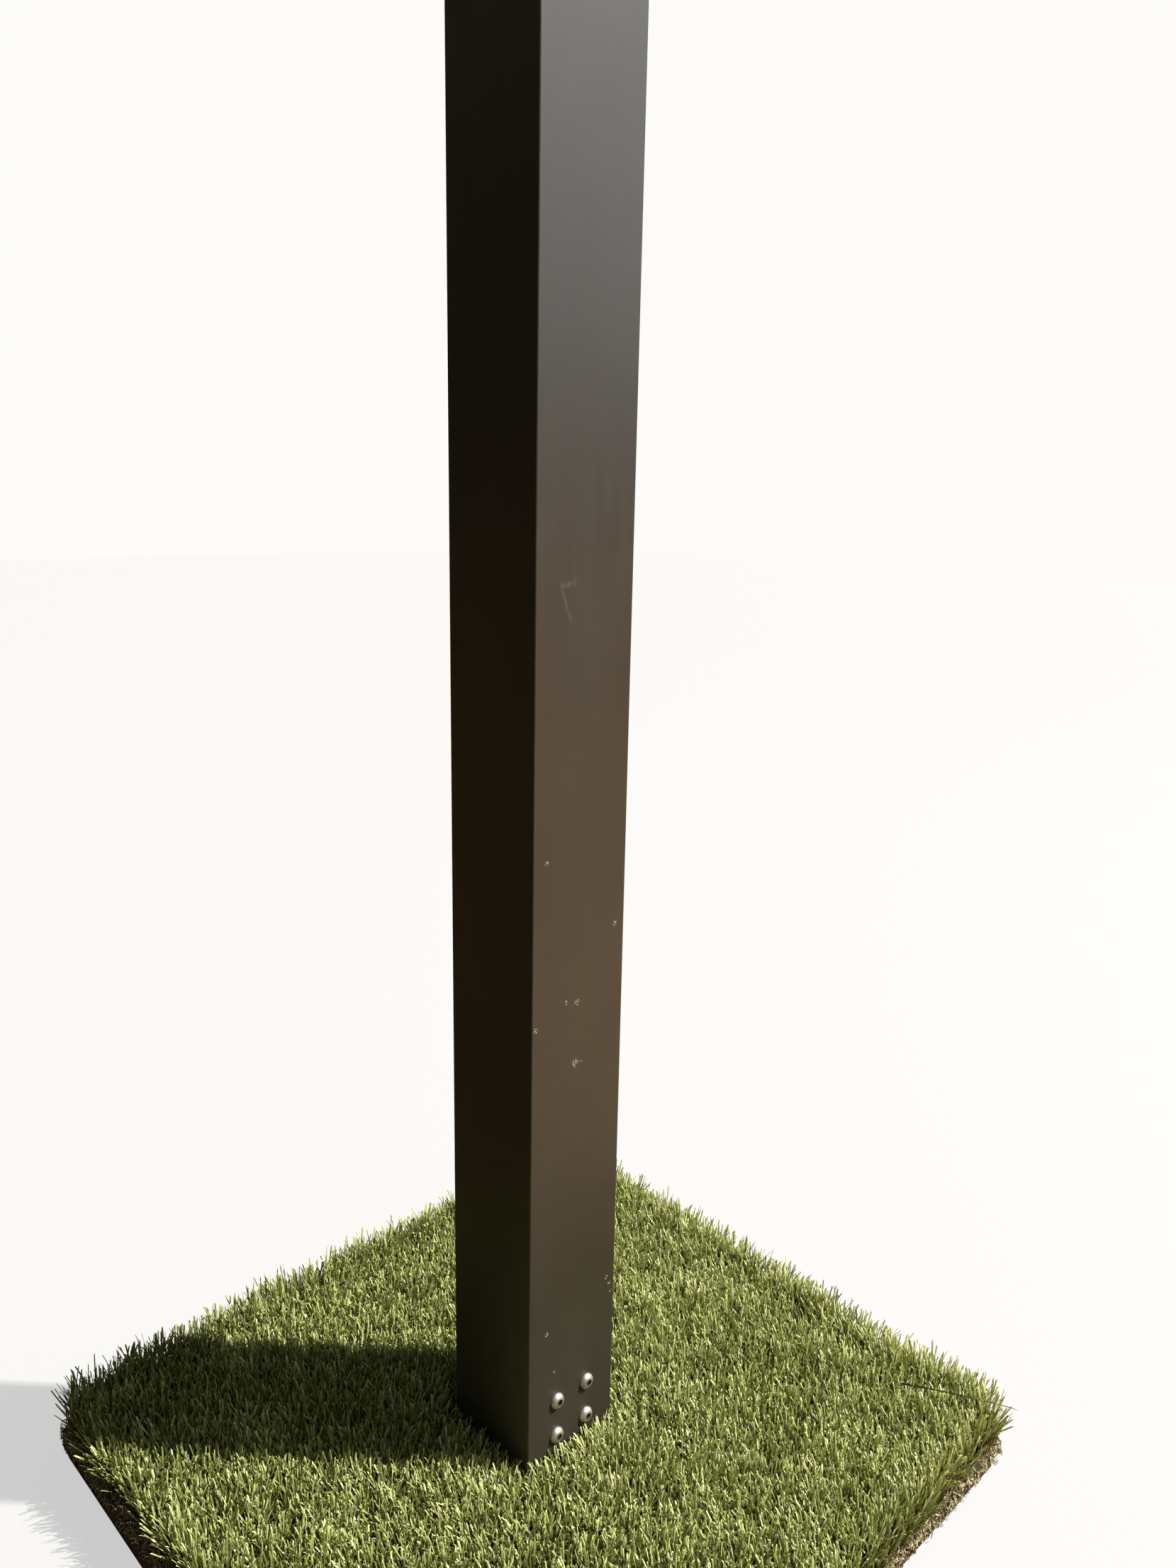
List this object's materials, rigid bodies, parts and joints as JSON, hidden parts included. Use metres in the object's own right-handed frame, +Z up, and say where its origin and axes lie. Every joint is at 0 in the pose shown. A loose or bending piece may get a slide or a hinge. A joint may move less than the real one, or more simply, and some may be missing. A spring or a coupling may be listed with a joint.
{
  "type": "signpost",
  "caption": "Free-standing signpost: a square aluminium post bolted to a turf-covered steel base, with a rectangular sign panel clamped near its top.",
  "frame": {"origin": "on the ground under the middle of the post", "axes": "+Z up the post; the sign faces -Y; +X and -X are the post's sides that its foot screws go through"},
  "size_m": [0.648, 0.678, 2.4],
  "materials": {
    "post_finish": "satin",
    "plate_paint": "satin",
    "bare_steel": "matte",
    "stainless": "polished",
    "foot_rubber": "matte",
    "turf_backing": "matte",
    "turf_thatch": "matte",
    "turf_green": "satin",
    "tape": "matte",
    "nylon": "matte",
    "sign_aluminium": "satin",
    "sign_film": "satin",
    "sign_graphic": "satin"
  },
  "bodies": {
    "root": {"rubber_feet": "foot_rubber", "foot_washers": "stainless", "foot_screws": "stainless", "base_plate": "plate_paint", "base_screws": "stainless", "spigot_tube": "bare_steel", "spigot_plate": "bare_steel", "spigot_weld": "bare_steel", "nut_plate_right": "bare_steel", "nut_plate_left": "bare_steel", "post": "post_finish", "post_screws_right": "stainless", "post_screws_left": "stainless", "post_cap": "post_finish", "cap_plug": "nylon", "cap_screws": "stainless", "turf_tape": "tape", "turf_backing": "turf_backing", "turf_thatch": "turf_thatch", "turf_blades": "turf_green", "sign_panel": "sign_aluminium", "sign_film": "sign_film", "sign_graphic": "sign_graphic", "panel_rivets": "sign_aluminium", "lower_rail": "sign_aluminium", "upper_rail": "sign_aluminium", "rail_end_caps": "nylon", "lower_clamp": "post_finish", "upper_clamp": "post_finish", "clamp_bolts": "stainless", "clamp_washers": "stainless", "clamp_nuts": "stainless"}
  },
  "joints": []
}
